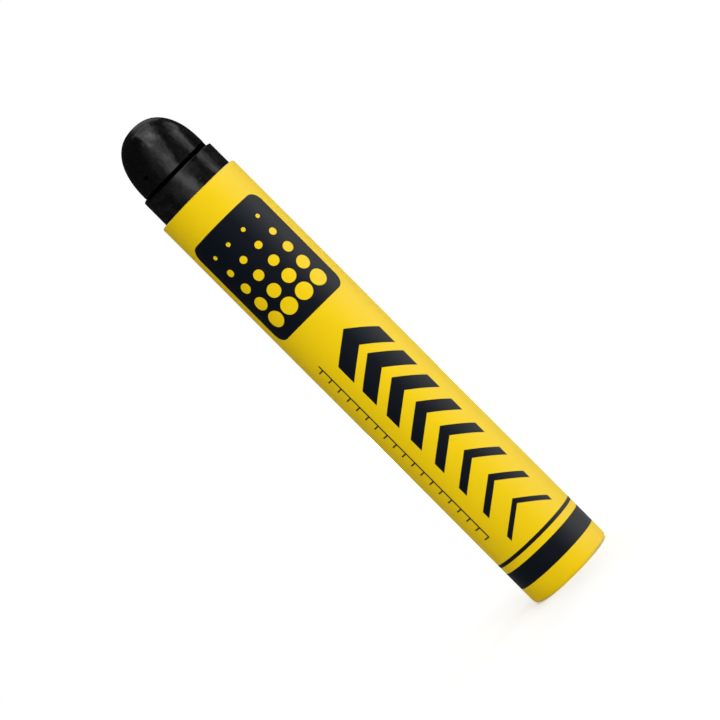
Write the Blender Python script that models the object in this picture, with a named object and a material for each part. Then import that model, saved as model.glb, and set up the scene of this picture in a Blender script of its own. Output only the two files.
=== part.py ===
"""A solid paint stick in its paper sleeve, standing on its rear end with the nose up.

The paint is one casting: a blunt nose, a witness groove, a shoulder and a long shank.
The shank slides in a spiral-wound paper tube of three plies, and a printed sheet is
wrapped once round the tube with its lap at the back (+Y) and its ends turned in over
the rims. The origin is the middle of the rear rim, with +Z towards the nose.
"""

import math

import bmesh
import bpy

# Sizes, in metres
SLEEVE_LENGTH = 0.1024
PAINT_DIAMETER = 0.0173
SHOULDER_LENGTH = 0.006
SHOULDER_STEP = 0.00075
GROOVE_WIDTH = 0.0008
GROOVE_DEPTH = 0.0002
NOSE_HEIGHT = 0.01145
EDGE_RADIUS = 0.0003
REAR_RECESS = 0.0015
REAR_DISH = 0.0006
PLY_THICKNESS = 0.00018
STRIP_WIDTH = 0.032
LABEL_THICKNESS = 0.00015
LABEL_BEND = 0.00045
LAP_WIDTH = 0.005

# Clearances, in metres
RUNNING_CLEARANCE = 0.0001
GLUE_LINE = 0.00005
SEAM_GAP = 0.0004

# Shape of the nose: 2 is an ellipse, and a higher number is blunter
NOSE_FULLNESS = 2.45

# Counts
SIDES = 48
NOSE_RINGS = 12
DISH_RINGS = 3
FILLET_STEPS = 3

# Sizes that follow from those above
PAINT_RADIUS = PAINT_DIAMETER / 2
NOSE_RADIUS = PAINT_RADIUS - SHOULDER_STEP
BORE_RADIUS = PAINT_RADIUS + RUNNING_CLEARANCE
LAYER = PLY_THICKNESS + GLUE_LINE
PLY_NAMES = ("inner_ply", "middle_ply", "outer_ply")
LABEL_RADIUS = BORE_RADIUS + len(PLY_NAMES) * LAYER
LABEL_TURN_IN = LABEL_BEND + LABEL_THICKNESS

# Angles, in radians
SIDE_ANGLE = math.tau / SIDES
QUARTER_TURN = math.pi / 2
BACK = QUARTER_TURN
LAP_CURL = math.radians(10)
SHARP_ANGLE = math.radians(35)

# Points of a turned profile that lie this close become one, in metres
MERGE_DISTANCE = 1e-6


def clear_scene():
    for obj in list(bpy.data.objects):
        bpy.data.objects.remove(obj, do_unlink=True)


def make_material(name, colour, roughness):
    material = bpy.data.materials.new(name)
    material.use_nodes = True
    shader = material.node_tree.nodes["Principled BSDF"]
    shader.inputs["Base Color"].default_value = (*colour, 1.0)
    shader.inputs["Roughness"].default_value = roughness
    shader.inputs["Metallic"].default_value = 0.0
    return material


def add_object(name, mesh, material):
    mesh.materials.append(material)
    mesh.shade_smooth()
    mesh.set_sharp_from_angle(angle=SHARP_ANGLE)
    obj = bpy.data.objects.new(name, mesh)
    bpy.context.scene.collection.objects.link(obj)
    return obj


def on_axis(angle, radius, height):
    """The point at this angle round the axis, measured from +X towards +Y."""
    return radius * math.cos(angle), radius * math.sin(angle), height


def arc(centre, radius, start, end, steps):
    """Points of an arc in the (radius, height) half-plane, both ends included."""
    points = []
    for step in range(steps + 1):
        angle = start + (end - start) * step / steps
        points.append((centre[0] + radius * math.cos(angle), centre[1] + radius * math.sin(angle)))
    return points


def swept_sheet(name, sections):
    """A closed mesh through the cut edges of a sheet, which run up one face and down the other."""
    shape = bmesh.new()
    loops = [[shape.verts.new(point) for point in section] for section in sections]
    for near, far in zip(loops, loops[1:]):
        for i in range(len(near)):
            j = (i + 1) % len(near)
            shape.faces.new((near[i], near[j], far[j], far[i]))
    for end in (loops[0], loops[-1]):
        for i in range(len(end) // 2 - 1):
            shape.faces.new((end[i], end[i + 1], end[-2 - i], end[-1 - i]))
    bmesh.ops.recalc_face_normals(shape, faces=shape.faces)
    mesh = bpy.data.meshes.new(name)
    shape.to_mesh(mesh)
    shape.free()
    return mesh


def turned_object(name, profile, material):
    """A profile from the axis round to the axis again, turned by a Screw modifier."""
    mesh = bpy.data.meshes.new(name)
    edges = [(i, i + 1) for i in range(len(profile) - 1)]
    mesh.from_pydata([(radius, 0.0, height) for radius, height in profile], edges, [])
    obj = add_object(name, mesh, material)
    screw = obj.modifiers.new("Turn", "SCREW")
    screw.steps = SIDES
    screw.render_steps = SIDES
    screw.use_smooth_shade = True
    screw.use_merge_vertices = True
    screw.merge_threshold = MERGE_DISTANCE
    return obj


def nose_profile(base):
    """The nose from its tip down to its widest ring, a quarter of a superellipse."""
    points = [(0.0, base + NOSE_HEIGHT)]
    power = 2 / NOSE_FULLNESS
    for ring in range(1, NOSE_RINGS):
        angle = QUARTER_TURN * (1 - ring / NOSE_RINGS)
        points.append(
            (NOSE_RADIUS * math.cos(angle) ** power, base + NOSE_HEIGHT * math.sin(angle) ** power)
        )
    points.append((NOSE_RADIUS, base))
    return points


def make_paint_stick():
    """The casting, made from its own rear edge upwards. Its origin lies on the slide's axis."""
    shoulder_top = SLEEVE_LENGTH - REAR_RECESS + SHOULDER_LENGTH
    nose_base = shoulder_top + GROOVE_WIDTH
    groove_bottom = (NOSE_RADIUS - GROOVE_DEPTH, shoulder_top + GROOVE_WIDTH / 2)
    edge_centre = PAINT_RADIUS - EDGE_RADIUS
    profile = nose_profile(nose_base)
    profile += [groove_bottom, (NOSE_RADIUS, shoulder_top)]
    profile += arc(
        (edge_centre, shoulder_top - EDGE_RADIUS), EDGE_RADIUS, QUARTER_TURN, 0.0, FILLET_STEPS
    )
    profile += arc((edge_centre, EDGE_RADIUS), EDGE_RADIUS, 0.0, -QUARTER_TURN, FILLET_STEPS)
    for ring in range(DISH_RINGS - 1, -1, -1):
        share = ring / DISH_RINGS
        profile.append((edge_centre * share, REAR_DISH * (1 - share**2)))
    paint = make_material("Black solid paint", (0.012, 0.012, 0.013), 0.42)
    stick = turned_object("paint_stick", profile, paint)
    stick.location.z = REAR_RECESS
    return stick


def make_ply(name, order, material):
    """One spiral-wound strip, its edges a seam gap apart, trimmed square at both ends.

    A ply that the label turns in over is trimmed shorter, to leave room for the label's ends.
    """
    inside = BORE_RADIUS + order * LAYER
    outside = inside + PLY_THICKNESS
    turned_in_over = outside + GLUE_LINE > LABEL_RADIUS - LABEL_BEND
    setback = LABEL_TURN_IN if turned_in_over else 0.0
    bottom = setback
    top = SLEEVE_LENGTH - setback
    around = math.tau * (inside + PLY_THICKNESS / 2)
    pitch = around * math.tan(math.asin(STRIP_WIDTH / around))
    seam = pitch * order / len(PLY_NAMES)
    first = math.ceil((bottom + SEAM_GAP - seam) / pitch * SIDES)
    last = math.floor((top - SEAM_GAP - seam + pitch) / pitch * SIDES)
    sections = []
    for step in range(first, last + 1):
        edge = seam + pitch * step / SIDES
        low = max(bottom, edge - pitch + SEAM_GAP / 2)
        high = min(top, edge - SEAM_GAP / 2)
        angle = step * SIDE_ANGLE
        corners = ((outside, low), (outside, high), (inside, high), (inside, low))
        sections.append([on_axis(angle, radius, height) for radius, height in corners])
    return add_object(name, swept_sheet(name, sections), material)


def label_outline(lift, curl):
    """The sheet's cut edge in (radius, height), its two ends bent in by the angle curl."""
    inside = LABEL_RADIUS + lift
    middle = inside - LABEL_BEND
    low = (middle, LABEL_TURN_IN)
    high = (middle, SLEEVE_LENGTH - LABEL_TURN_IN)
    outline = arc(low, LABEL_TURN_IN, -curl, 0.0, FILLET_STEPS)
    outline += arc(high, LABEL_TURN_IN, 0.0, curl, FILLET_STEPS)
    outline += arc(high, LABEL_BEND, curl, 0.0, FILLET_STEPS)
    outline += arc(low, LABEL_BEND, 0.0, -curl, FILLET_STEPS)
    return outline


def make_label():
    """One turn of printed sheet, which climbs over its own start and ends in a lap."""
    lap_lift = LABEL_THICKNESS + GLUE_LINE
    lap_angle = LAP_WIDTH / (LABEL_RADIUS + lap_lift)
    lap_steps = max(2, math.ceil(lap_angle / SIDE_ANGLE))
    turns = [(step * SIDE_ANGLE, 0.0, QUARTER_TURN) for step in range(SIDES)]
    turns += [
        (math.tau + lap_angle * step / lap_steps, lap_lift, LAP_CURL)
        for step in range(lap_steps + 1)
    ]
    sections = [
        [on_axis(BACK + angle, radius, height) for radius, height in label_outline(lift, curl)]
        for angle, lift, curl in turns
    ]
    paper = make_material("Yellow printed paper", (0.905, 0.623, 0.008), 0.45)
    return add_object("label_wrap", swept_sheet("label_wrap", sections), paper)


def main():
    clear_scene()
    make_paint_stick()
    board = make_material("Grey paperboard", (0.36, 0.32, 0.27), 0.9)
    for order, name in enumerate(PLY_NAMES):
        make_ply(name, order, board)
    make_label()


main()
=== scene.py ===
"""Looks of a paint stick: the cast paint, the board plies and the printed wrap of its sleeve.

Every piece takes its size and place from the frame. Lengths are in metres, with MM for small ones.
"""

import math
import random

import bmesh
import bpy
from mathutils import Matrix, Quaternion, Vector, noise


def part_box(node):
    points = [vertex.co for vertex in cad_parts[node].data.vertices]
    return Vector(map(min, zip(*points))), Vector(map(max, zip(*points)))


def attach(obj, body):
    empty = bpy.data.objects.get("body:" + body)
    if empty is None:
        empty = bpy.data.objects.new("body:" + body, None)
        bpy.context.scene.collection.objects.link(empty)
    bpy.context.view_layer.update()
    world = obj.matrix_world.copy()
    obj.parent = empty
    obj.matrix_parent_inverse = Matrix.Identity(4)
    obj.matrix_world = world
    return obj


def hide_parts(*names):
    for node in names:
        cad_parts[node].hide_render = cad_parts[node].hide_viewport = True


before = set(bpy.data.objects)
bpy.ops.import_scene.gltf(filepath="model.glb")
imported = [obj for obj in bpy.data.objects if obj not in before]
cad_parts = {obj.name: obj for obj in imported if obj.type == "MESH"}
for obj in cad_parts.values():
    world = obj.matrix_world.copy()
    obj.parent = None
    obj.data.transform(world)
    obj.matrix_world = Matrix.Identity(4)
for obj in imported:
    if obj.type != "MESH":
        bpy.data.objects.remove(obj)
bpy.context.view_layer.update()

MM = 0.001
QUARTER_TURN = math.pi / 2
FRONT = -QUARTER_TURN
BACK = QUARTER_TURN

# Camera: its place, how far it looks down, to the right and rolled over, and its lens in millimetres
CAMERA_PLACE = Vector((1.347 * MM, -500.0 * MM, 64.26 * MM))
CAMERA_DOWN = math.radians(0.736)
CAMERA_ASIDE = math.radians(-0.198)
CAMERA_ROLL = math.radians(44.914)
CAMERA_LENS = 128.863
CAMERA_SENSOR = 36.0

# Sizes that the nodes' boxes give
SLEEVE_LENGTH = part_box("label_wrap")[1].z
WRAP_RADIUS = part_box("label_wrap")[1].x
PAINT_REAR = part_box("paint_stick")[0].z
PAINT_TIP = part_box("paint_stick")[1].z
PAINT_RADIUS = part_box("paint_stick")[1].x

# The wrap: a sheet whose ends turn in over the rims, with a lap at the back
WRAP_THICKNESS = 0.15 * MM
WRAP_BEND = 0.45 * MM
WRAP_TURN_IN = WRAP_THICKNESS + WRAP_BEND
FRONT_ROUND = 0.32 * MM
REAR_ROUND = 0.75 * MM
LAP_WIDTH = 5.0 * MM
LAP_LIFT = 0.2 * MM
LAP_CURL = math.radians(10)

# The plies from the bore outwards, each piece with the node that it stands for
PLIES = (("board_inner", "inner_ply"), ("board_middle", "middle_ply"), ("board_outer", "outer_ply"))
PLY_THICKNESS = 0.18 * MM
STRIP_WIDTH = 32.0 * MM
SEAM_GAP = 0.4 * MM

# The sleeve's cut ends rise at +X and at -X: how far, and a power that is higher for a narrower rise
RISE_RIGHT = 0.33 * MM
RISE_RIGHT_POWER = 2
RISE_LEFT = 0.36 * MM
RISE_LEFT_POWER = 6

# The casting. A fullness of 2 makes the nose an ellipse, and a higher one is blunter.
SHOULDER_STEP = 0.75 * MM
SHOULDER_LENGTH = 6.03 * MM
GROOVE_WIDTH = 0.87 * MM
GROOVE_DEPTH = 0.06 * MM
EDGE_RADIUS = 0.22 * MM
REAR_DISH = 0.6 * MM
NOSE_FULLNESS = 2.37
NOSE_RADIUS = PAINT_RADIUS - SHOULDER_STEP
SHOULDER_TOP = SLEEVE_LENGTH + SHOULDER_LENGTH
NOSE_BASE = SHOULDER_TOP + GROOVE_WIDTH
NOSE_HEIGHT = PAINT_TIP - NOSE_BASE

# The casting's faults: it leans to one side of its sleeve, its groove and shoulder sit askew, and
# its skin is lumpy
PAINT_LEAN = Vector((0.08 * MM, 0.0, 0.0))
NOSE_TILT = Vector((math.tan(math.radians(0.7)), math.tan(math.radians(4.2)), 0.0))
SHOULDER_TILT = Vector((0.0, math.tan(math.radians(4.2)), 0.0))
LIP_HEIGHT = 0.64 * MM
LIP_FADE = 0.45
DROOP_DEPTH = 0.25 * MM
SIDE_SPREAD = math.radians(26)
LUMP_SIZE = 5.0 * MM
LUMP_HEIGHT = 0.05 * MM
RIPPLE_SIZE = 1.7 * MM
RIPPLE_HEIGHT = 0.010 * MM

# Pits in its skin: many small ones, and one on the flank of the nose, given as (angle, height, size,
# depth), with painted shade that thins out between two distances from it
PIT_SEED = 11
PIT_COUNT = 26
PIT_SIZE = (0.2 * MM, 0.45 * MM)
PIT_DEPTH_SHARE = 0.2
PIT_FALLOFF = 2.0
PIT_REACH = 2.0
PIT_FREE_TIP = 2.0 * MM
FLANK_PIT = (FRONT - math.radians(38), NOSE_BASE + 2.6 * MM, 0.6 * MM, 0.16 * MM)
FLANK_PIT_SHADE_REACH = (0.38 * MM, 0.56 * MM)
FLANK_PIT_WANDER = 0.3 * MM

# Fineness of the meshes
PAINT_SIDES = 224
WRAP_SIDES = 240
PLY_SIDES = 192
NOSE_RINGS = 61
GROOVE_STEPS = 6
ARC_STEPS = 6
PLY_ROWS = 4
RING_STEP = 0.25 * MM
DISH_STEP = 0.75 * MM
SHANK_STEP = 1.2 * MM
WRAP_ROW_STEP = 2.5 * MM
SHARP_ANGLE = math.radians(18)

# Print on the sheet, in millimetres. Across is measured round the sleeve from the middle of the
# front towards +X, and along from the rear rim.
PRINT_EDGE = 0.07
REAR_RINGS = ((4.2, 8.4), (10.0, 10.8))
CHEVRON_MIDDLE = 1.6
CHEVRON_HALF_WIDTH = 6.0
CHEVRON_SLOPE = 0.75
CHEVRON_PITCH = 6.3
CHEVRON_THICKNESS = (1.3, 4.3)
CHEVRON_START = 15.0
CHEVRON_COUNT = 8
RULE_ACROSS = -7.6
RULE_RANGE = (16.5, 62.5)
RULE_HALF_WIDTH = 0.17
TICK_PITCH = 2.5
TICK_LENGTH = 1.5
TICK_HALF_WIDTH = 0.16
PANEL_MIDDLE = (-0.6, 83.0)
PANEL_HALF = (10.2, 12.4)
PANEL_CORNER = 2.5
DOT_PITCH = 4.1
DOT_COLUMNS = 4
DOT_ROWS = 5
DOT_RADIUS = (1.75, 0.45)

# Rubbed rims of the print, in millimetres, and how much of the bare paper shows there
SCUFF_REACH = (0.34, 0.20)
SCUFF_WANDER = 0.6
SCUFF_STRENGTH = 0.55

# Varnish over the print: its gloss at the back, and the changes of that gloss between two places across
VARNISH_GLOSS = 0.10
VARNISH_CHANGES = ((-18.0, -8.0, -0.04), (-5.0, 0.7, 0.04), (0.7, 8.2, 0.80), (11.0, 20.0, -0.80))

# Colours, linear
PRINT_YELLOW = (0.905, 0.623, 0.004)
PRINT_INK = (0.0027, 0.0052, 0.0095)
BARE_PAPER = (0.70, 0.66, 0.57)
BOARD = (0.36, 0.32, 0.27)
PAINT = (0.0028, 0.0028, 0.0030)
# Painted shade: near black for the groove and for the pit on the nose's flank
PAINTED_SHADE_BLACK = (0.0006, 0.0006, 0.0006)
FLOOR = (0.80, 0.80, 0.80, 1.0)
WHITE = (1.0, 1.0, 1.0, 1.0)

# Finish: roughness, what grain, fibres and scores add to it, and the gloss of the paint's streaks
PAPER_ROUGHNESS = 0.60
INK_ROUGHNESS = 0.56
GRAIN_ROUGHNESS = 0.06
BARE_ROUGHNESS = 0.82
BOARD_ROUGHNESS = 0.85
PAINTED_SHADE_ROUGHNESS = 0.85
FIBRE_ROUGHNESS = 0.1
PAINT_ROUGHNESS = (0.14, 0.27)
SCORE_ROUGHNESS = 0.04
PAINT_GLOSS = (0.36, 0.66)
FLOOR_ROUGHNESS = 0.9

# Relief of the surfaces
PAPER_FIBRE_HEIGHT = 0.006 * MM
PAPER_GRAIN_HEIGHT = 0.003 * MM
INK_HEIGHT = 0.002 * MM
BARE_FIBRE_HEIGHT = 0.012 * MM
BOARD_FIBRE_HEIGHT = 0.02 * MM
DIMPLE_HEIGHT = 0.10 * MM
SKIN_HEIGHT = 0.004 * MM
SCORE_HEIGHT = 0.015 * MM
CRUMB_HEIGHT = 0.01 * MM

# The part of a noise's range from 0 to 1 that most of it lies in
NOISE_MIDDLE = (0.3, 0.7)

# Flecks in the board: the peaks of a noise that make them, how far they cover it, and how bright they are
FLECK_PEAKS = (0.66, 0.74)
FLECK_STRENGTH = 0.6
FLECK_BRIGHTNESS = 0.45

# Light and floor: where the lamps point, the even light, how much of the white surround shows in
# gloss, and the floor, whose glow grows between two distances from the stick
LIGHT_AIM = Vector((0.0, 0.0, 60.0 * MM))
AMBIENT = 0.20
BACKDROP_IN_GLOSS = 0.02
FLOOR_SIZE = 12.0
FLOOR_SEGMENTS = 8
FLOOR_GLOW_RANGE = (0.12, 0.9)
FLOOR_GLOW = (0.34, 1.0)


class Value:
    """A number that varies over a surface: a node's output socket, with arithmetic."""

    def __init__(self, socket):
        self.socket = socket

    def __add__(self, other):
        return compute("ADD", self, other)

    __radd__ = __add__

    def __sub__(self, other):
        return compute("SUBTRACT", self, other)

    def __mul__(self, other):
        return compute("MULTIPLY", self, other)

    def __truediv__(self, other):
        return compute("DIVIDE", self, other)

    def __neg__(self):
        return compute("MULTIPLY", self, -1.0)

    def __abs__(self):
        return compute("ABSOLUTE", self)


def plug(source, socket):
    """Sets a socket to a constant, or links a value or another socket to it."""
    if isinstance(source, Value):
        source = source.socket
    if isinstance(source, bpy.types.NodeSocket):
        socket.id_data.links.new(source, socket)
    else:
        socket.default_value = source


def compute(operation, *values):
    """A Math node on values, at least one of which varies."""
    tree = next(value.socket.id_data for value in values if isinstance(value, Value))
    node = tree.nodes.new("ShaderNodeMath")
    node.operation = operation
    for value, socket in zip(values, node.inputs):
        plug(value, socket)
    return Value(node.outputs[0])


def smallest(first, *others):
    for other in others:
        first = compute("MINIMUM", first, other)
    return first


def largest(first, *others):
    for other in others:
        first = compute("MAXIMUM", first, other)
    return first


def limited(value, low, high):
    return smallest(largest(value, low), high)


def length(first, second):
    return compute("SQRT", first * first + second * second)


def remap(value, low, high, to_low, to_high):
    """The value carried from one range to another, with smooth ends."""
    node = value.socket.id_data.nodes.new("ShaderNodeMapRange")
    node.interpolation_type = "SMOOTHSTEP"
    plug(value, node.inputs["Value"])
    plug(low, node.inputs["From Min"])
    plug(high, node.inputs["From Max"])
    plug(to_low, node.inputs["To Min"])
    plug(to_high, node.inputs["To Max"])
    return Value(node.outputs["Result"])


def mix_colours(factor, first, second):
    """A colour socket that goes from the first colour to the second. Either may be a socket too."""
    node = factor.socket.id_data.nodes.new("ShaderNodeMix")
    node.data_type = "RGBA"
    plug(factor, node.inputs["Factor"])
    for colour, name in ((first, "A"), (second, "B")):
        socket = next(s for s in node.inputs if s.name == name and s.type == "RGBA")
        plug((*colour, 1.0) if isinstance(colour, tuple) else colour, socket)
    return next(s for s in node.outputs if s.type == "RGBA")


def varied(factor, colour, low, high):
    """A colour that goes from low to high times its brightness."""
    return mix_colours(factor, tuple(low * c for c in colour), tuple(high * c for c in colour))


class Surface:
    """A material with a Principled shader, and the coordinates that its patterns are drawn in."""

    def __init__(self, name):
        self.material = bpy.data.materials.new(name)
        self.material.use_nodes = True
        self.tree = self.material.node_tree
        self.shader = self.tree.nodes["Principled BSDF"]
        self.place = self.tree.nodes.new("ShaderNodeTexCoord").outputs["Object"]
        split = self.tree.nodes.new("ShaderNodeSeparateXYZ")
        plug(self.place, split.inputs[0])
        self.x, self.y, self.z = (Value(split.outputs[axis]) for axis in "XYZ")

    def set(self, **inputs):
        """Plugs values into the shader's inputs, which are named with _ for a space."""
        for name, value in inputs.items():
            plug(value, self.shader.inputs[name.replace("_", " ")])

    def noise(self, scale, detail, roughness, stretch=(1.0, 1.0, 1.0)):
        """Noise from 0 to 1 with this many features a metre, times the stretch of each axis."""
        mapping = self.tree.nodes.new("ShaderNodeMapping")
        mapping.inputs["Scale"].default_value = stretch
        plug(self.place, mapping.inputs["Vector"])
        texture = self.tree.nodes.new("ShaderNodeTexNoise")
        plug(mapping.outputs[0], texture.inputs["Vector"])
        texture.inputs["Scale"].default_value = scale
        texture.inputs["Detail"].default_value = detail
        texture.inputs["Roughness"].default_value = roughness
        return Value(texture.outputs["Fac"])

    def bump(self, height):
        """Raises the surface by a height in metres."""
        node = self.tree.nodes.new("ShaderNodeBump")
        node.inputs["Strength"].default_value = 1.0
        node.inputs["Distance"].default_value = 1.0
        plug(height, node.inputs["Height"])
        plug(node.outputs["Normal"], self.shader.inputs["Normal"])


def band(place, low, high):
    """Signed distance to a band from low to high, below 0 inside it."""
    return abs(place - (low + high) / 2) - (high - low) / 2


def chevron_distance(across, along):
    """Distance to a row of chevrons that grow thicker towards the nose."""
    from_spine = abs(across - CHEVRON_MIDDLE)
    climb = along + from_spine * CHEVRON_SLOPE - CHEVRON_START
    number = compute("FLOOR", climb / CHEVRON_PITCH)
    thin, thick = CHEVRON_THICKNESS
    thickness = number * ((thick - thin) / (CHEVRON_COUNT - 1)) + thin
    stripe = abs(climb - (number + 0.5) * CHEVRON_PITCH) - thickness / 2
    stripe = stripe / math.hypot(1.0, CHEVRON_SLOPE)
    row = band(climb, 0.0, CHEVRON_COUNT * CHEVRON_PITCH)
    return largest(stripe, row, from_spine - CHEVRON_HALF_WIDTH)


def rule_distance(across, along):
    """Distance to a ruled line with ticks on its far side from the chevrons."""
    low, high = RULE_RANGE
    beside = across - RULE_ACROSS
    from_tick = along - low - compute("ROUND", (along - low) / TICK_PITCH) * TICK_PITCH
    ticks = largest(abs(from_tick) - TICK_HALF_WIDTH, band(beside, -TICK_LENGTH, 0.0))
    line = abs(beside) - RULE_HALF_WIDTH
    return largest(smallest(line, ticks), band(along, low, high) - TICK_HALF_WIDTH)


def panel_distance(across, along):
    """Distance to a panel with round corners, and dots left out of it that shrink towards the nose."""
    from_middle = across - PANEL_MIDDLE[0]
    up_from_middle = along - PANEL_MIDDLE[1]
    out_across = abs(from_middle) - (PANEL_HALF[0] - PANEL_CORNER)
    out_along = abs(up_from_middle) - (PANEL_HALF[1] - PANEL_CORNER)
    corner = length(largest(out_across, 0.0), largest(out_along, 0.0))
    panel = corner + smallest(largest(out_across, out_along), 0.0) - PANEL_CORNER

    column = from_middle / DOT_PITCH
    row = up_from_middle / DOT_PITCH
    last_column = (DOT_COLUMNS - 1) / 2
    last_row = (DOT_ROWS - 1) / 2
    near_column = limited(compute("ROUND", column + last_column) - last_column, -last_column, last_column)
    near_row = limited(compute("ROUND", row + last_row) - last_row, -last_row, last_row)
    big, small = DOT_RADIUS
    radius = near_row * ((small - big) / (DOT_ROWS - 1)) + (big + small) / 2
    dots = length(column - near_column, row - near_row) * DOT_PITCH - radius
    return largest(panel, -dots)


def print_distance(across, along):
    """Signed distance to the print in millimetres, below 0 on the ink."""
    rings = [band(along, low, high) for low, high in REAR_RINGS]
    shapes = [shape(across, along) for shape in (chevron_distance, rule_distance, panel_distance)]
    return smallest(*rings, *shapes)


def printed_paper():
    """Coated yellow paper with dark ink, fibrous under the coating and rubbed at its rims."""
    surface = Surface("printed_paper")
    blotch = surface.noise(scale=90.0, detail=4.0, roughness=0.55)
    grain = surface.noise(scale=2600.0, detail=2.0, roughness=0.6)
    rub = surface.noise(scale=1100.0, detail=3.0, roughness=0.6)
    fibre = surface.noise(scale=1500.0, detail=3.0, roughness=0.6, stretch=(1.0, 1.0, 0.25))
    across = compute("ARCTAN2", surface.x, -surface.y) * (WRAP_RADIUS / MM)
    along = surface.z / MM
    ink = remap(print_distance(across, along), PRINT_EDGE / 2, -PRINT_EDGE / 2, 0.0, 1.0)
    yellow = varied(blotch, PRINT_YELLOW, low=0.965, high=1.03)
    dark = varied(grain, PRINT_INK, low=0.75, high=1.25)
    printed = mix_colours(ink, yellow, dark)
    from_rim = smallest(along, -along + SLEEVE_LENGTH / MM)
    scuff = remap(from_rim + rub * SCUFF_WANDER, *SCUFF_REACH, 0.0, SCUFF_STRENGTH)
    gloss_changes = [remap(across, start, end, 0.0, change) for start, end, change in VARNISH_CHANGES]
    surface.set(Base_Color=mix_colours(scuff, printed, BARE_PAPER))
    surface.set(Roughness=remap(ink, 0.0, 1.0, PAPER_ROUGHNESS, INK_ROUGHNESS) + grain * GRAIN_ROUGHNESS)
    surface.set(Specular_IOR_Level=sum(gloss_changes, VARNISH_GLOSS))
    surface.bump(fibre * PAPER_FIBRE_HEIGHT + grain * PAPER_GRAIN_HEIGHT + ink * INK_HEIGHT)
    return surface.material


def bare_paper():
    """The uncoated back and cut edges of the sheet."""
    surface = Surface("bare_paper")
    fibre = surface.noise(scale=1800.0, detail=4.0, roughness=0.65, stretch=(1.0, 1.0, 0.3))
    surface.set(Base_Color=varied(fibre, BARE_PAPER, low=0.86, high=1.08))
    surface.set(Roughness=fibre * FIBRE_ROUGHNESS + BARE_ROUGHNESS)
    surface.bump(fibre * BARE_FIBRE_HEIGHT)
    return surface.material


def paperboard():
    """Grey recycled board with fibres and dark flecks."""
    surface = Surface("paperboard")
    fibre = surface.noise(scale=1400.0, detail=4.0, roughness=0.65, stretch=(1.0, 1.0, 0.4))
    fleck = surface.noise(scale=2400.0, detail=2.0, roughness=0.5)
    shade = varied(fibre, BOARD, low=0.78, high=1.18)
    fleck_shade = tuple(FLECK_BRIGHTNESS * c for c in BOARD)
    flecked = mix_colours(remap(fleck, *FLECK_PEAKS, 0.0, FLECK_STRENGTH), shade, fleck_shade)
    surface.set(Base_Color=flecked)
    surface.set(Roughness=fibre * FIBRE_ROUGHNESS + BOARD_ROUGHNESS)
    surface.bump(fibre * BOARD_FIBRE_HEIGHT)
    return surface.material


def solid_paint(dark_pit):
    """Cast black paint with a waxy skin: dull in streaks, dimpled, scored, and with painted shade in one
    pit.
    """
    surface = Surface("solid_paint")
    patch = surface.noise(scale=420.0, detail=4.0, roughness=0.62, stretch=(1.0, 1.0, 0.6))
    dimple = surface.noise(scale=520.0, detail=2.0, roughness=0.5)
    skin = surface.noise(scale=1400.0, detail=3.0, roughness=0.6)
    streak = surface.noise(scale=750.0, detail=3.0, roughness=0.5, stretch=(1.0, 1.0, 0.4))
    score = surface.noise(scale=1700.0, detail=2.0, roughness=0.55, stretch=(1.0, 1.0, 0.04))
    # Painted shade: the flank pit goes near black and loses its gloss, thinning out away from it
    level = length(surface.x - dark_pit.x, surface.y - dark_pit.y)
    from_pit = length(level, surface.z - dark_pit.z) + (skin - 0.5) * FLANK_PIT_WANDER
    outside_pit_shade = remap(from_pit, *FLANK_PIT_SHADE_REACH, 0.0, 1.0)
    bloom = varied(patch, PAINT, low=0.7, high=1.3)
    surface.set(Base_Color=mix_colours(outside_pit_shade, PAINTED_SHADE_BLACK, bloom))
    surface.set(Roughness=remap(patch, *NOISE_MIDDLE, *PAINT_ROUGHNESS) + score * SCORE_ROUGHNESS)
    surface.set(Specular_IOR_Level=remap(streak, *NOISE_MIDDLE, *PAINT_GLOSS) * outside_pit_shade)
    surface.bump(dimple * DIMPLE_HEIGHT + skin * SKIN_HEIGHT + score * SCORE_HEIGHT)
    return surface.material


def painted_groove_shade():
    """Painted shade: the matt black of the groove, where no light reaches."""
    surface = Surface("painted_groove_shade")
    crumb = surface.noise(scale=1800.0, detail=3.0, roughness=0.6)
    surface.set(Base_Color=varied(crumb, PAINTED_SHADE_BLACK, low=0.6, high=1.4), Specular_IOR_Level=0.0)
    surface.set(Roughness=crumb * FIBRE_ROUGHNESS + PAINTED_SHADE_ROUGHNESS)
    surface.bump(crumb * CRUMB_HEIGHT)
    return surface.material


def around(angle, radius, height):
    """The point at this angle round the axis, measured from +X towards +Y."""
    return Vector((radius * math.cos(angle), radius * math.sin(angle), height))


def arc(centre, half_size, start, end):
    """Points of an ellipse's arc in the (radius, height) half-plane, both ends included."""
    angles = [start + (end - start) * step / ARC_STEPS for step in range(ARC_STEPS + 1)]
    deep, tall = half_size
    return [(centre[0] + deep * math.cos(a), centre[1] + tall * math.sin(a)) for a in angles]


def spaced(start, end, step):
    """Even stops from start to end, about a step apart, without the two ends."""
    count = max(1, round(abs(end - start) / step))
    return [start + (end - start) * i / count for i in range(1, count)]


def add_piece(name, shape, body, node, materials):
    """Turns a bmesh into a smooth piece that rides on a body and stands for a CAD node."""
    mesh = bpy.data.meshes.new(name)
    bmesh.ops.recalc_face_normals(shape, faces=shape.faces)
    shape.to_mesh(mesh)
    shape.free()
    for material in materials:
        mesh.materials.append(material)
    mesh.shade_smooth()
    mesh.set_sharp_from_angle(angle=SHARP_ANGLE)
    piece = bpy.data.objects.new(name, mesh)
    bpy.context.scene.collection.objects.link(piece)
    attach(piece, body)
    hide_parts(node)


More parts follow.
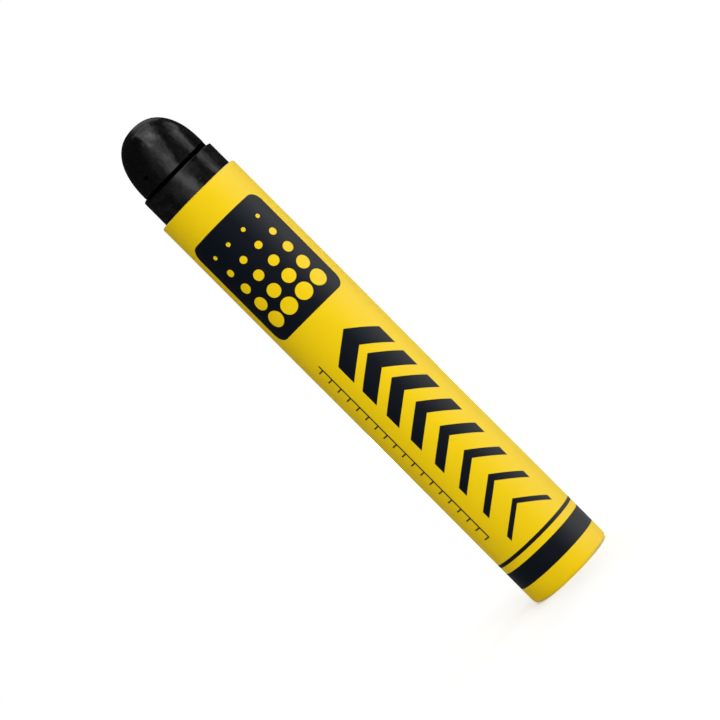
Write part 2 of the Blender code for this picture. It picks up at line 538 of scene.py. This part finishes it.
def paint_profile():
    """The casting's outline in (radius, height), from the tip down to the middle of the rear."""
    power = 2 / NOSE_FULLNESS
    outline = [(0.0, PAINT_TIP)]
    for ring in range(1, NOSE_RINGS + 1):
        angle = QUARTER_TURN * (1 - ring / NOSE_RINGS)
        radius = NOSE_RADIUS * math.cos(angle) ** power
        outline.append((radius, NOSE_BASE + NOSE_HEIGHT * math.sin(angle) ** power))
    for step in range(1, GROOVE_STEPS + 1):
        sunk = GROOVE_DEPTH if step < GROOVE_STEPS else 0.0
        outline.append((NOSE_RADIUS - sunk, NOSE_BASE - GROOVE_WIDTH * step / GROOVE_STEPS))
    edge = PAINT_RADIUS - EDGE_RADIUS
    round_edge = (EDGE_RADIUS, EDGE_RADIUS)
    front_edge = SHOULDER_TOP - EDGE_RADIUS
    rear_edge = PAINT_REAR + EDGE_RADIUS
    outline += [(radius, SHOULDER_TOP) for radius in spaced(NOSE_RADIUS, edge, RING_STEP)]
    outline += arc((edge, front_edge), round_edge, QUARTER_TURN, 0.0)
    outline += [(PAINT_RADIUS, height) for height in spaced(front_edge, SLEEVE_LENGTH, RING_STEP)]
    outline += [(PAINT_RADIUS, height) for height in spaced(SLEEVE_LENGTH, rear_edge, SHANK_STEP)]
    outline += arc((edge, rear_edge), round_edge, 0.0, -QUARTER_TURN)
    for radius in spaced(edge, 0.0, DISH_STEP):
        outline.append((radius, PAINT_REAR + REAR_DISH * (1 - (radius / edge) ** 2)))
    outline.append((0.0, PAINT_REAR + REAR_DISH))
    return outline


def skewed(point):
    """Tilts the nose's foot and the shoulder's top, each its own way, fading away from the groove.

    At -X the shoulder also swells up against the nose, less so towards its outer edge, and at +X
    it droops.
    """
    foot = NOSE_TILT.dot(point)
    outward = max(0.0, (math.hypot(point.x, point.y) - NOSE_RADIUS) / SHOULDER_STEP)
    lip = LIP_HEIGHT * (1 - LIP_FADE * outward)
    lip *= math.exp(-((math.atan2(point.y, -point.x) / SIDE_SPREAD) ** 2))
    droop = DROOP_DEPTH * math.exp(-((math.atan2(point.y, point.x) / SIDE_SPREAD) ** 2))
    top = SHOULDER_TILT.dot(point) + lip - droop
    if point.z >= NOSE_BASE:
        lift = foot * (PAINT_TIP - point.z) / NOSE_HEIGHT
    elif point.z > SHOULDER_TOP:
        lift = top + (foot - top) * (point.z - SHOULDER_TOP) / GROOVE_WIDTH
    else:
        lift = top * max(0.0, (point.z - SLEEVE_LENGTH) / SHOULDER_LENGTH)
    return point + Vector((0.0, 0.0, lift))


def make_pits(profile):
    """The pits as (centre, size, depth): the flank's deep one, then small ones all over."""
    draw = random.Random(PIT_SEED)
    places = [FLANK_PIT]
    for _ in range(PIT_COUNT):
        angle = draw.uniform(0.0, math.tau)
        height = draw.uniform(SLEEVE_LENGTH, PAINT_TIP - PIT_FREE_TIP)
        size = draw.uniform(*PIT_SIZE)
        places.append((angle, height, size, PIT_DEPTH_SHARE * size))
    pits = []
    for angle, height, size, depth in places:
        radius = min(profile, key=lambda p: abs(p[1] - height))[0]
        pits.append((around(angle, radius, height), size, depth))
    return pits


def sunk_skin(point, pits):
    """How far lumps, ripples and pits let the skin sink at a point."""
    sunk = LUMP_HEIGHT * (1 + noise.noise(point / LUMP_SIZE)) / 2
    sunk += RIPPLE_HEIGHT * (1 + noise.noise(point / RIPPLE_SIZE)) / 2
    for centre, size, depth in pits:
        away = (point - centre).length / size
        if away < PIT_REACH:
            sunk += depth * math.exp(-PIT_FALLOFF * away**2)
    return sunk


def cast_paint(profile, pits, paint, painted_shade_material):
    """The casting, lumpy and pitted, with the groove left askew between nose and shoulder."""
    shape = bmesh.new()
    rings = []
    for radius, height in profile:
        count = PAINT_SIDES if radius > 0.0 else 1
        ring = []
        for side in range(count):
            point = around(math.tau * side / count, radius, height)
            outward = Vector((point.x, point.y, max(0.0, point.z - NOSE_BASE))).normalized()
            place = skewed(point) - outward * sunk_skin(point, pits)
            ring.append(shape.verts.new(place + PAINT_LEAN))
        rings.append(ring)
    for upper, lower, (radius, height) in zip(rings, rings[1:], profile[1:]):
        # Faces in the groove take the painted shade material, index 1
        in_groove = SHOULDER_TOP <= height < NOSE_BASE and radius <= NOSE_RADIUS
        for side in range(PAINT_SIDES):
            corners = []
            for ring, step in ((upper, 0), (upper, 1), (lower, 1), (lower, 0)):
                corner = ring[(side + step) % len(ring)]
                if corner not in corners:
                    corners.append(corner)
            face = shape.faces.new(corners)
            face.material_index = 1 if in_groove else 0
    add_piece("cast_paint", shape, "stick", "paint_stick", [paint, painted_shade_material])


def sweep(sections, outer_count, inner_material):
    """A sheet through sections that run up its outer face and down its inner one.

    Its inner face and its cut edges take the material of the index inner_material.
    """
    shape = bmesh.new()
    loops = [[shape.verts.new(point) for point in section] for section in sections]
    for near, far in zip(loops, loops[1:]):
        for i in range(len(near)):
            j = (i + 1) % len(near)
            face = shape.faces.new((near[i], near[j], far[j], far[i]))
            face.material_index = 0 if i < outer_count - 1 else inner_material
    for end in (loops[0], loops[-1]):
        for i in range(len(end) // 2 - 1):
            face = shape.faces.new((end[i], end[i + 1], end[-2 - i], end[-1 - i]))
            face.material_index = inner_material
    return shape


def askew(point):
    """Raises the sleeve a little towards +X and -X, so that its cut ends aren't quite square."""
    side = point.x / WRAP_RADIUS
    rise = RISE_RIGHT * max(0.0, side) ** RISE_RIGHT_POWER
    rise += RISE_LEFT * max(0.0, -side) ** RISE_LEFT_POWER
    return point + Vector((0.0, 0.0, rise))


def board_ply(name, node, order, material):
    """One spiral-wound strip of board, with a seam between its turns and both ends trimmed."""
    low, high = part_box(node)
    outside = high.x
    inside = outside - PLY_THICKNESS
    girth = math.tau * (outside - PLY_THICKNESS / 2)
    pitch = girth * math.tan(math.asin(STRIP_WIDTH / girth))
    seam = pitch * order / len(PLIES)
    first = math.ceil((low.z + SEAM_GAP - seam) / pitch * PLY_SIDES)
    last = math.floor((high.z - SEAM_GAP - seam + pitch) / pitch * PLY_SIDES)
    sections = []
    for step in range(first, last + 1):
        edge = seam + pitch * step / PLY_SIDES
        bottom = max(low.z, edge - pitch + SEAM_GAP / 2)
        top = min(high.z, edge - SEAM_GAP / 2)
        heights = [bottom + (top - bottom) * row / PLY_ROWS for row in range(PLY_ROWS + 1)]
        angle = math.tau * step / PLY_SIDES
        outer = [around(angle, outside, height) for height in heights]
        inner = [around(angle, inside, height) for height in reversed(heights)]
        sections.append([askew(point) for point in outer + inner])
    shape = sweep(sections, PLY_ROWS + 1, 0)
    add_piece(name, shape, "sleeve", node, [material])


def wrap_outline(lift, curl):
    """The sheet's section in (radius, height): up the outside, down the inside, its ends bent in."""
    middle = WRAP_RADIUS - WRAP_TURN_IN + lift
    low = (middle, REAR_ROUND)
    high = (middle, SLEEVE_LENGTH - FRONT_ROUND)
    rows = spaced(low[1], high[1], WRAP_ROW_STEP)
    outer = arc(low, (WRAP_TURN_IN, REAR_ROUND), -curl, 0.0)
    outer += [(middle + WRAP_TURN_IN, height) for height in rows]
    outer += arc(high, (WRAP_TURN_IN, FRONT_ROUND), 0.0, curl)
    inner = arc(high, (WRAP_BEND, FRONT_ROUND - WRAP_THICKNESS), curl, 0.0)
    inner += [(middle + WRAP_BEND, height) for height in reversed(rows)]
    inner += arc(low, (WRAP_BEND, REAR_ROUND - WRAP_THICKNESS), 0.0, -curl)
    return outer, inner


def printed_label(printed, bare):
    """One turn of printed sheet, which climbs over its own start and ends in a lap at the back."""
    lap_angle = LAP_WIDTH / (WRAP_RADIUS + LAP_LIFT)
    lap_steps = round(lap_angle / math.tau * WRAP_SIDES)
    turns = [(math.tau * step / WRAP_SIDES, 0.0, QUARTER_TURN) for step in range(WRAP_SIDES)]
    for step in range(lap_steps + 1):
        turns.append((math.tau + lap_angle * step / lap_steps, LAP_LIFT, LAP_CURL))
    sections = []
    for angle, lift, curl in turns:
        outer, inner = wrap_outline(lift, curl)
        points = [around(BACK + angle, radius, height) for radius, height in outer + inner]
        sections.append([askew(point) for point in points])
    shape = sweep(sections, len(outer), 1)
    add_piece("printed_label", shape, "sleeve", "label_wrap", [printed, bare])


def make_camera():
    """The camera at the photograph's angle, rolled so that the stick lies across the frame."""
    level_forward = Vector((math.sin(CAMERA_ASIDE), math.cos(CAMERA_ASIDE), 0.0))
    level_right = Vector((math.cos(CAMERA_ASIDE), -math.sin(CAMERA_ASIDE), 0.0))
    forward = level_forward * math.cos(CAMERA_DOWN) - Vector((0.0, 0.0, math.sin(CAMERA_DOWN)))
    level_up = level_right.cross(forward)
    right = level_right * math.cos(CAMERA_ROLL) - level_up * math.sin(CAMERA_ROLL)
    up = level_right * math.sin(CAMERA_ROLL) + level_up * math.cos(CAMERA_ROLL)
    lens = bpy.data.cameras.new("camera")
    lens.lens = CAMERA_LENS
    lens.sensor_width = CAMERA_SENSOR
    camera = bpy.data.objects.new("camera", lens)
    turn = Matrix((right, up, -forward)).transposed().to_4x4()
    camera.matrix_world = Matrix.Translation(CAMERA_PLACE) @ turn
    bpy.context.scene.collection.objects.link(camera)
    bpy.context.scene.camera = camera


def seen_directly(tree):
    """1 for rays from the camera and through glass, less for gloss, and 0 for rays that light a surface.

    A surround that is white in gloss too would turn the black paint grey.
    """
    path = tree.nodes.new("ShaderNodeLightPath")
    direct = largest(Value(path.outputs["Is Camera Ray"]), Value(path.outputs["Is Transmission Ray"]))
    return largest(direct, Value(path.outputs["Is Glossy Ray"]) * BACKDROP_IN_GLOSS)


def make_world():
    """White where it is seen, and a dimmer even light on the stick."""
    world = bpy.data.worlds.new("studio")
    world.use_nodes = True
    bpy.context.scene.world = world
    background = world.node_tree.nodes["Background"]
    background.inputs["Color"].default_value = WHITE
    path = world.node_tree.nodes.new("ShaderNodeLightPath")
    lighting = Value(path.outputs["Is Diffuse Ray"]) * AMBIENT
    plug(seen_directly(world.node_tree) + lighting, background.inputs["Strength"])


def make_floor():
    """A pale floor that takes the stick's shadow, and reads as white away from it."""
    surface = Surface("floor")
    glow = remap(length(surface.x, surface.y), *FLOOR_GLOW_RANGE, *FLOOR_GLOW)
    surface.set(Base_Color=FLOOR, Roughness=FLOOR_ROUGHNESS, Specular_IOR_Level=0.0)
    surface.set(Emission_Color=WHITE, Emission_Strength=seen_directly(surface.tree) * glow)
    shape = bmesh.new()
    half = FLOOR_SIZE / 2
    bmesh.ops.create_grid(shape, x_segments=FLOOR_SEGMENTS, y_segments=FLOOR_SEGMENTS, size=half)
    mesh = bpy.data.meshes.new("floor")
    shape.to_mesh(mesh)
    shape.free()
    mesh.materials.append(surface.material)
    floor = bpy.data.objects.new("floor", mesh)
    bpy.context.scene.collection.objects.link(floor)


def add_softbox(name, azimuth, elevation, distance, size, share, lean=0, in_gloss=True):
    """A rectangular lamp that faces the stick. Azimuth 0 is the front, and 90 is +X.

    Its share is of full brightness on a surface that faces it. It leans by an angle that carries
    its top towards a greater azimuth. Angles are in degrees.
    """
    turn = math.radians(azimuth)
    rise = math.radians(elevation)
    away = Vector((math.sin(turn) * math.cos(rise), -math.cos(turn) * math.cos(rise), math.sin(rise)))
    data = bpy.data.lights.new(name, "AREA")
    data.shape = "RECTANGLE"
    data.size, data.size_y = size
    data.energy = share * (math.pi * distance) ** 2
    lamp = bpy.data.objects.new(name, data)
    lamp.location = LIGHT_AIM + away * distance
    lamp.rotation_mode = "QUATERNION"
    facing = (-away).to_track_quat("-Z", "Y")
    lamp.rotation_quaternion = facing @ Quaternion((0, 0, 1), -math.radians(lean))
    lamp.visible_camera = False
    lamp.visible_glossy = in_gloss
    bpy.context.scene.collection.objects.link(lamp)


def make_lights():
    """Wide boxes that only light the stick, and narrower ones that also show in its gloss."""
    # Name, azimuth, elevation, distance, (width, height), share
    add_softbox("front_box", 15, 12, 1.2, (1.08, 1.2), 0.44, in_gloss=False)
    add_softbox("front_halo", -4, 22, 1.4, (1.82, 1.8), 0.075, lean=23)
    add_softbox("front_screen", 5, 14, 1.1, (0.80, 1.15), 0.110, lean=22)
    add_softbox("front_strip", 8, 14, 1.0, (0.40, 1.0), 0.075, lean=20)
    add_softbox("top_screen", 28, 61, 1.1, (0.80, 0.90), 0.125, lean=23)
    add_softbox("top_box", 26, 57, 1.0, (0.46, 0.50), 0.105, lean=23)
    add_softbox("overhead", 110, 78, 1.2, (0.8, 0.8), 0.10)
    add_softbox("rear_halo", 164, 46, 1.3, (0.6, 0.75), 0.03)
    add_softbox("right_box", 91, 10, 1.2, (0.72, 1.2), 0.24, in_gloss=False)
    add_softbox("right_strip", 85, 7, 1.0, (0.41, 0.85), 0.118, lean=14)
    add_softbox("right_rear_strip", 114, 27, 1.05, (0.62, 0.24), 0.03)
    add_softbox("back_fill", 180, 25, 1.2, (1.2, 1.0), 0.66, in_gloss=False)


def make_stick():
    """The paint, with its sleeve of three plies and the printed wrap round it."""
    profile = paint_profile()
    pits = make_pits(profile)
    flank_pit_place = skewed(pits[0][0])
    cast_paint(profile, pits, solid_paint(flank_pit_place), painted_groove_shade())
    board = paperboard()
    for order, (name, node) in enumerate(PLIES):
        board_ply(name, node, order, board)
    printed_label(printed_paper(), bare_paper())


def main():
    bpy.context.scene.view_settings.view_transform = "Standard"
    make_camera()
    make_world()
    make_floor()
    make_lights()
    make_stick()


main()
